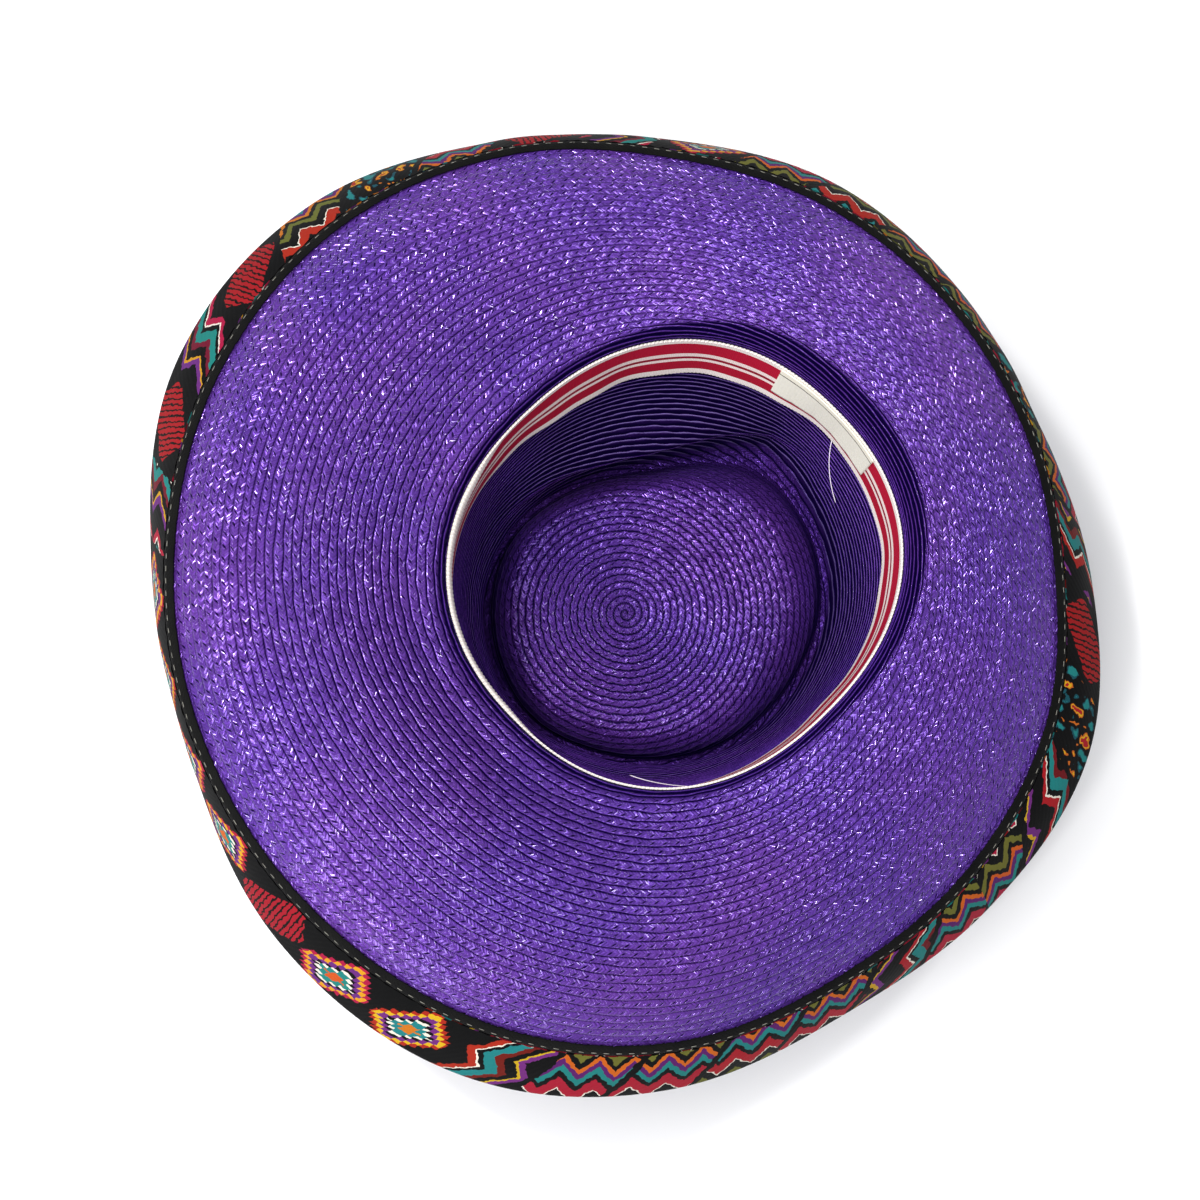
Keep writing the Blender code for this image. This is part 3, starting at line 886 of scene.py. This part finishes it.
def thread_material(name, hex_colour):
    """Spun sewing thread: matt, twisted."""
    finish, add, shader = new_material(name)
    place = add("TexCoord").node.outputs["Object"]
    twist = add("TexNoise", {"Vector": place, "Scale": 2500.0})
    colour = add("Mix", {"Factor": twist, 6: srgb(hex_colour), 7: srgb("#EFE9DD")}, data_type="RGBA")
    mixed = add("Mix", {"Factor": 0.25, 6: srgb(hex_colour), 7: colour}, data_type="RGBA")
    feed(shader, {"Base Color": mixed, "Roughness": 0.6})
    return finish


class HAT_OT_cuff(bpy.types.Operator):
    """Rolls the doubled printed band down past the tape"""

    bl_idname = "hat.cuff"
    bl_label = "Printed cuff"

    def execute(self, context):
        steps, nose_steps = 14, 5

        def outline_at(angles):
            lean = around(BRIM_ROWS, "cuff", angles)
            middle = at_edge(angles, TAPE_THICKNESS + 2 * CLEARANCE, -STRAW / 2)
            slopes = [around(BRIM_ROWS, "edge", angles)]
            slopes += [lean + CUFF_CURL * (1 - 2 * k / (steps - 1)) for k in range(steps)]
            upper, lower = [], []
            for k in range(steps + 1):
                turned = slope(slopes[k])
                share = k / steps
                pucker = 0.00016 * (np.sin(angles * 151) + np.sin(angles * 229 + 1)) * math.exp(-5 * share)
                ripple = 0.0003 * np.sin(angles * 23 + 2) * math.sin(math.pi * share)
                plump = 0.78 + 0.22 * math.sin(math.pi * min(1, share * 1.2))
                half = (CUFF_THICKNESS / 2 * plump + pucker + ripple)[:, None]
                side = square_to(turned) * half
                upper.append(middle + side)
                lower.append(middle - side)
                if k < steps:
                    middle = middle + slope(slopes[k + 1]) * CUFF_WIDTH / steps
            nose = []
            for k in range(1, nose_steps):
                turn = math.pi * k / nose_steps
                nose.append(middle + side * math.cos(turn) + turned * half * math.sin(turn))
            return np.stack(upper + nose + lower[::-1], axis=1)

        piece = band("cotton_cuff", outline_at, CUFF_SECTIONS, 60.0)
        finish_piece(piece, print_material(), "printed_cuff")
        return {"FINISHED"}


def print_material():
    """Printed cotton: matt plain weave with zigzags, lozenges, peaks, combs and dabs on black."""
    finish, add, shader = new_material("Printed cotton, plain woven and screen printed")
    uv = add("UVMap", uv_map="UVMap")
    # Hand-drawn edges wander by about 1 mm
    wander = add("TexNoise", {"Vector": uv, "Scale": 320.0, "Detail": 2.0}).node.outputs["Color"]
    wander = add("VectorMath", (wander, (0.5, 0.5, 0.5)), operation="SUBTRACT")
    wander = add("VectorMath", {0: wander, "Scale": 0.0028}, operation="SCALE")
    place = add("VectorMath", (uv, wander), operation="ADD")
    along, across, _ = add("SeparateXYZ", (place,)).node.outputs
    ink, crimson, teal, cream = "#060607", "#A8182E", "#1F7F7C", "#EDE4D6"
    rust, ochre, olive, plum = "#C9631C", "#D9A21E", "#6A6A2A", "#6B2A78"

    # Slanting cells 34 mm long, each with its own motif and colours
    sheared = add("Math", (across, 0.55, along), operation="MULTIPLY_ADD")
    counted = add("Math", (sheared, 1 / 0.034), operation="MULTIPLY")
    cell = add("Math", (counted,), operation="FLOOR")
    inside = add("Math", (counted,), operation="FRACT")
    choice = add("TexWhiteNoise", {"W": cell}, noise_dimensions="1D")
    hue = add("SeparateColor", (choice.node.outputs["Color"],)).node.outputs[1]
    centred = add("Math", (inside, 0.5), operation="SUBTRACT")
    from_middle = add("Math", (centred,), operation="ABSOLUTE")

    # Zigzags: stripes across the cell, bent by a triangle wave 18 mm long
    saw = add("Math", (across, 0.009), operation="PINGPONG")
    saw_share = add("Math", (saw, 26.0, inside), operation="MULTIPLY_ADD")
    zigzag = add("Math", (saw_share, hue), operation="ADD")
    zigzag = add("Math", (zigzag,), operation="FRACT")
    zigzags = add("ValToRGB", {"Fac": zigzag})
    set_stops(zigzags, [(0.0, ink), (0.24, crimson), (0.34, cream), (0.37, ink), (0.44, teal),
                        (0.58, "#6E1220"), (0.68, ink), (0.80, "#C99A1E"), (0.84, plum), (0.93, ink)],
              "CONSTANT")

    # Lozenges: nested stepped rings about the cell's middle
    up = add("Math", (across, 0.0145), operation="SUBTRACT")
    up = add("Math", (up, 1 / 0.026), operation="MULTIPLY")
    up = add("Math", (up,), operation="ABSOLUTE")
    stepped = add("Math", (from_middle, 0.07), operation="SNAP")
    ring = add("Math", (stepped, 1.25, up), operation="MULTIPLY_ADD")
    lozenges = add("ValToRGB", {"Fac": ring})
    set_stops(lozenges, [(0.0, rust), (0.10, teal), (0.22, cream), (0.27, ink), (0.33, plum), (0.42, ochre),
                         (0.50, crimson), (0.58, ink)], "CONSTANT")

    # Peaks: stripes that run along the band, bent by a triangle wave 14 mm long
    peak = add("Math", (along, 0.007), operation="PINGPONG")
    peak = add("Math", (peak, 1.3, across), operation="MULTIPLY_ADD")
    peak = add("Math", (peak, 1 / 0.036, hue), operation="MULTIPLY_ADD")
    peak = add("Math", (peak,), operation="FRACT")
    peaks = add("ValToRGB", {"Fac": peak})
    set_stops(peaks, [(0.0, crimson), (0.20, cream), (0.225, ink), (0.40, olive), (0.52, ink), (0.62, rust),
                      (0.70, "#5A1C66"), (0.80, teal), (0.90, ink)], "CONSTANT")

    # Combs: thin teeth on a filled wedge
    teeth = add("Math", (along, 0.0012), operation="PINGPONG")
    teeth = add("Math", (teeth, 0.0004), operation="GREATER_THAN")
    wedge = add("Math", (up, 0.75, from_middle), operation="MULTIPLY_ADD")
    wedge = add("Math", (wedge, 0.52), operation="LESS_THAN")
    comb = add("Math", (teeth, wedge), operation="MULTIPLY")
    comb_dye = add("ValToRGB", {"Fac": hue})
    set_stops(comb_dye, [(0.0, olive), (0.35, "#A01628"), (0.65, teal), (0.85, "#C4762A")], "CONSTANT")
    combs = add("Mix", {"Factor": comb, 6: srgb(ink), 7: comb_dye}, data_type="RGBA")

    # Dabs: brush marks scattered over black
    dab_place = add("Mapping", {0: place, "Rotation": (0, 0, 0.6), "Scale": (1.0, 0.45, 1.0)})
    dab = add("TexNoise", {"Vector": dab_place, "Scale": 210.0, "Detail": 1.0})
    dabs = add("ValToRGB", {"Fac": dab})
    set_stops(dabs, [(0.0, teal), (0.37, "#17505A"), (0.42, ink), (0.60, rust), (0.64, ochre),
                     (0.68, crimson)], "CONSTANT")

    # Each cell's luck picks one of the motifs
    motif = zigzags
    for least, other in ((0.24, lozenges), (0.42, peaks), (0.70, combs), (0.84, dabs)):
        picked = add("Math", (choice, least), operation="GREATER_THAN")
        motif = add("Mix", {"Factor": picked, 6: motif, 7: other}, data_type="RGBA")
    border = add("Math", (from_middle, 0.45), operation="GREATER_THAN")
    colour = add("Mix", {"Factor": border, 6: motif, 7: srgb(ink)}, data_type="RGBA")
    dye_lot = add("MapRange", (hue, 0.0, 1.0, 0.488, 0.516))
    colour = add("HueSaturation", {"Hue": dye_lot, "Value": 0.72, "Color": colour})

    # Threads 0.4 mm apart are too fine to show, so they are drawn as faint slanting ribs 2.3 mm apart
    weave = add("TexWave", {"Vector": uv, "Scale": band_scale(0.0016)}, wave_type="BANDS",
                bands_direction="DIAGONAL")
    slubs = add("TexNoise", {"Vector": uv, "Scale": 900.0})
    relief = add("Math", (weave, slubs), operation="ADD")
    bump = add("Bump", {"Height": relief, "Strength": 0.35, "Distance": 0.0001})
    feed(shader, {"Base Color": colour, "Normal": bump, "Roughness": 0.75, "Specular IOR Level": 0.10})
    return finish


def ribbon_radius(angles, height):
    """Side of the ribbon that faces the wall: sewn at its upper edge, loose at its lower one."""
    depth = (CROWN_DEPTH - RIBBON_DROP - height) / RIBBON_WIDTH
    waves = 1.0 + 0.22 * np.sin(11 * angles + 0.6) + 0.12 * np.sin(19 * angles)
    loose = around(CROWN_ROWS, "loose", angles) * RIBBON_STAND_OFF * depth * waves
    return wall_radius(angles, height) - CLEARANCE - loose


class HAT_OT_ribbon(bpy.types.Operator):
    """Sews the striped ribbon inside the head line"""

    bl_idname = "hat.ribbon"
    bl_label = "Ribbon"

    def execute(self, context):
        trim = context.scene.hat_trim
        scallops = int(HEAD_LENGTH * math.pi / trim.picot_pitch)
        angles = np.linspace(0.0, math.tau, scallops * 3 + 1)
        picot = trim.picot_height * np.abs(np.sin(angles * scallops / 2))
        # On one side the upper edge rolls inwards, so that its cream edge shows from above
        rolled_share = np.clip((np.cos(angles - ROLL_ANGLE) - ROLL_START) / ROLL_FADE, 0.0, 1.0)
        roll = rolled_share * (RIBBON_ROLL + picot / 2)
        top = CROWN_DEPTH - RIBBON_DROP
        shares = np.concatenate([[0.0], np.linspace(0.03, 0.97, 12), [1.0]])
        roll_places = (0.0, 0.03, 0.12, 0.21, 0.37, 1.0)
        roll_shares = (0.0, 0.5, 1.0, 0.8, 0.35, 0.1)
        columns = []
        for inward, order in ((0.0, shares), (RIBBON_THICKNESS * 0.8, shares[::-1])):
            for share in order:
                height = top - RIBBON_WIDTH * share
                edge = picot * ((share == 0.0) * 1.0 - (share == 1.0) * 1.0)
                rolled = roll * np.interp(share, roll_places, roll_shares)
                columns.append(spots(angles, ribbon_radius(angles, height) - inward - rolled, height + edge))
        columns.append(columns[0])
        points = np.stack(columns, axis=1)
        points[-1] = points[0]
        across = np.concatenate([shares, shares[::-1], [0.0]])
        along = ring_lengths(points)[:, 0]
        # The UV map counts metres along the ribbon and its width across, less where the edge rolls
        piece = rolled_grid("grosgrain_ribbon", points,
                            lambda i, j, low: (along[i], across[j] - ROLL_SHIFT * rolled_share[i]), 60.0)
        finish_piece(piece, ribbon_material(), "sweatband")
        return {"FINISHED"}


def ribbon_material():
    """Grosgrain ribbon, ribbed across and woven in stripes, with cream edges: soft lustre on the ribs."""
    finish, add, shader = new_material("Grosgrain ribbon, ribbed and woven in stripes")
    uv = add("UVMap", uv_map="UVMap")
    along, across, _ = add("SeparateXYZ", (uv,)).node.outputs
    stripes = add("ValToRGB", {"Fac": across})
    set_stops(stripes, [(0.0, "#F4ECE4"), (0.08, "#B41430"), (0.40, "#F2E2DC"), (0.50, "#8E1426"),
                        (0.565, "#F2E2DC"), (0.635, "#AA142C"), (0.87, "#F4ECE4")], "CONSTANT")
    # Ribs 0.6 mm apart are too fine to show, so they are drawn 1 mm apart
    ribs = add("Math", (along, math.tau / 0.001), operation="MULTIPLY")
    ribs = add("Math", (ribs,), operation="SINE")
    shade = add("MapRange", (ribs, -1.0, 1.0, 0.10, 0.0))
    colour = add("Mix", {"Factor": shade, 6: stripes, 7: srgb("#3A0A14")}, data_type="RGBA")
    bump = add("Bump", {"Height": ribs, "Strength": 0.3, "Distance": 0.00012})
    feed(shader, {"Base Color": colour, "Normal": bump, "Roughness": 0.6, "Specular IOR Level": 0.25})
    return finish


class HAT_OT_label(bpy.types.Operator):
    """Sews the bare label over the ribbon and leaves its loose threads"""

    bl_idname = "hat.label"
    bl_label = "Label and threads"

    def execute(self, context):
        half = LABEL_LENGTH / HEAD_LENGTH
        angles = np.linspace(math.pi / 2 - half, math.pi / 2 + half, 55)
        shares = np.linspace(0.0, 1.0, 23)
        top = CROWN_DEPTH - RIBBON_DROP
        columns = []
        for share in shares:
            height = top - LABEL_WIDTH * share
            lift = 0.0002 * np.sin((angles - angles[0]) / (2 * half) * math.pi * 5) * share
            radius = ribbon_radius(angles, height) - RIBBON_THICKNESS - np.abs(lift)
            columns.append(spots(angles, radius, height))
        points = np.stack(columns, axis=1)
        u = np.linspace(0.0, LABEL_LENGTH, len(angles))
        v = shares * LABEL_WIDTH
        piece = rolled_grid("bare_label", points, lambda i, j, low: (u[i], v[j]))
        wall = piece.modifiers.new("Cloth", "SOLIDIFY")
        wall.thickness = LABEL_THICKNESS * 0.6
        wall.offset = -1.0 if piece.data.polygons[0].normal.y > 0 else 1.0
        bpy.ops.object.modifier_apply(modifier=wall.name)
        finish_piece(piece, label_material(), "label")

        white = thread_material("Cream sewing thread, spun", "#D8D0E4")
        loose = loose_thread("loose_thread_back", (7, 88.0, 82), (15.4, 78.6, 79), (27, 72, 74))
        finish_piece(loose, white)
        loose = loose_thread("loose_thread_front", (48, -72.6, 94), (58, -67.0, 96), (68, -58.6, 94))
        finish_piece(loose, white)
        return {"FINISHED"}


def loose_thread(name, *stops):
    """A thin bent thread through three points, in millimetres from the head's axis."""
    start, middle, end = (np.array(stop) / 1000 + [HEAD_AXIS.x, HEAD_AXIS.y, 0.0] for stop in stops)
    t = np.linspace(0.0, 1.0, 25)[:, None]
    bend = 2 * middle - (start + end) / 2
    line = bent(start, bend, end, t)
    along = np.gradient(line, axis=0)
    along /= np.linalg.norm(along, axis=1, keepdims=True)
    side = np.cross(along, [0.0, 0.0, 1.0])
    side /= np.linalg.norm(side, axis=1, keepdims=True)
    rise = np.cross(side, along)
    turns = np.linspace(0.0, math.tau, 7)
    radius = np.full(len(t), bpy.context.scene.hat_trim.thread_radius)
    radius[[0, -1]] = 0.0
    points = line[:, None] + radius[:, None, None] * (
        side[:, None] * np.cos(turns)[None, :, None] + rise[:, None] * np.sin(turns)[None, :, None])
    return rolled_grid(name, points, lambda i, j, low: (i / 24, j / 6))


def label_material():
    """Woven polyester label, cut and turned under: cream, bare, with one thin dark line along its edge."""
    finish, add, shader = new_material("Woven label, cream and bare")
    uv = add("UVMap", uv_map="UVMap")
    across = add("SeparateXYZ", (uv,)).node.outputs[1]
    share = add("Math", (across, LABEL_WIDTH), operation="DIVIDE")
    line = add("ValToRGB", {"Fac": share})
    set_stops(line, [(0.0, "#F2EFDC"), (0.17, "#3A352C"), (0.20, "#ECEBDC")], "CONSTANT")
    # Threads 0.2 mm apart are too fine to show, so they are drawn 1.6 mm apart
    weave = add("TexWave", {"Vector": uv, "Scale": band_scale(0.0016)}, wave_type="BANDS",
                bands_direction="X")
    slubs = add("TexNoise", {"Vector": uv, "Scale": 700.0})
    shade = add("Math", (slubs, 0.18), operation="MULTIPLY")
    colour = add("Mix", {"Factor": shade, 6: line, 7: srgb("#A8A492")}, data_type="RGBA")
    bump = add("Bump", {"Height": weave, "Strength": 0.3, "Distance": 0.0001})
    feed(shader, {"Base Color": colour, "Normal": bump, "Roughness": 0.6})
    return finish


class HAT_OT_stage(bpy.types.Operator):
    """Lays the floor, hangs the lights and sets the camera"""

    bl_idname = "hat.stage"
    bl_label = "Stage"

    def execute(self, context):
        stage = context.scene.hat_stage
        deselect_all()
        bpy.ops.mesh.primitive_plane_add(size=stage.floor_size, location=(0.0, 0.0, 0.0))
        floor = context.object
        floor.name = "floor"
        finish, _, shader = new_material("Pale paper floor")
        feed(shader, {"Base Color": srgb("#F4F4F4"), "Roughness": 0.9})
        floor.data.materials.append(finish)

        world = bpy.data.worlds.new("Pale room")
        world.use_nodes = True
        feed(world.node_tree.nodes["Background"], {"Color": srgb("#F2F4FA"), "Strength": 0.36})
        context.scene.world = world
        for lamp in LAMPS:
            bpy.ops.object.light_add(type="AREA", location=lamp.place)
            light = context.object
            light.name = lamp.name
            light.data.size = lamp.size
            light.data.energy = lamp.power
            light.rotation_mode = "QUATERNION"
            light.rotation_quaternion = (Vector((0, 0, 0.08)) - Vector(lamp.place)).to_track_quat("-Z", "Y")

        turn, rise, roll = (math.radians(angle) for angle in (CAMERA_AROUND, CAMERA_ABOVE, CAMERA_ROLL))
        flat = math.cos(rise)
        back = Vector((math.sin(turn) * flat, -math.cos(turn) * flat, math.sin(rise)))
        foot = Vector((HEAD_AXIS.x, HEAD_AXIS.y, 0.0))
        at = foot + Vector((0.0024, -0.0010, CROWN_DEPTH)) + back * stage.camera_distance
        look = (foot + Vector((-0.0097, -0.0334, CROWN_DEPTH)) - at).normalized()
        level = look.cross(Vector((0, 1, 0))).normalized()
        steep = level.cross(look)
        right = math.cos(roll) * level + math.sin(roll) * steep
        up = math.cos(roll) * steep - math.sin(roll) * level
        bpy.ops.object.camera_add(location=at)
        camera = context.object
        camera.name = "photo camera"
        camera.matrix_world = Matrix.Translation(at) @ Matrix((right, up, -look)).transposed().to_4x4()
        camera.data.lens = stage.lens
        camera.data.sensor_width = 36.0
        camera.data.clip_start = 0.01
        camera.data.clip_end = 20.0
        context.scene.camera = camera
        context.scene.view_settings.view_transform = "Standard"
        return {"FINISHED"}


class HAT_PT_hat(bpy.types.Panel):
    """Lists the hat's pieces"""

    bl_idname = "HAT_PT_hat"
    bl_label = "Church hat"
    bl_space_type = "VIEW_3D"
    bl_region_type = "UI"
    bl_category = "Hat"

    def draw(self, context):
        for operator in OPERATORS:
            self.layout.operator(operator.bl_idname)
        for group in ("hat_straw", "hat_trim", "hat_stage"):
            settings = getattr(context.scene, group)
            for name in settings.bl_rna.properties.keys():
                if name not in ("rna_type", "name"):
                    self.layout.prop(settings, name)


OPERATORS = (
    HAT_OT_crown, HAT_OT_brim, HAT_OT_edge_tape, HAT_OT_cuff, HAT_OT_ribbon, HAT_OT_label, HAT_OT_stage,
)
CLASSES = (StrawSettings, TrimSettings, StageSettings) + OPERATORS + (HAT_PT_hat,)


def register():
    for made in CLASSES:
        bpy.utils.register_class(made)
    bpy.types.Scene.hat_straw = bpy.props.PointerProperty(type=StrawSettings)
    bpy.types.Scene.hat_trim = bpy.props.PointerProperty(type=TrimSettings)
    bpy.types.Scene.hat_stage = bpy.props.PointerProperty(type=StageSettings)


def unregister():
    del bpy.types.Scene.hat_stage
    del bpy.types.Scene.hat_trim
    del bpy.types.Scene.hat_straw
    for made in reversed(CLASSES):
        bpy.utils.unregister_class(made)


def main():
    register()
    bpy.ops.hat.crown()
    bpy.ops.hat.brim()
    bpy.ops.hat.edge_tape()
    bpy.ops.hat.cuff()
    bpy.ops.hat.ribbon()
    bpy.ops.hat.label()
    bpy.ops.hat.stage()


if __name__ == "__main__":
    main()
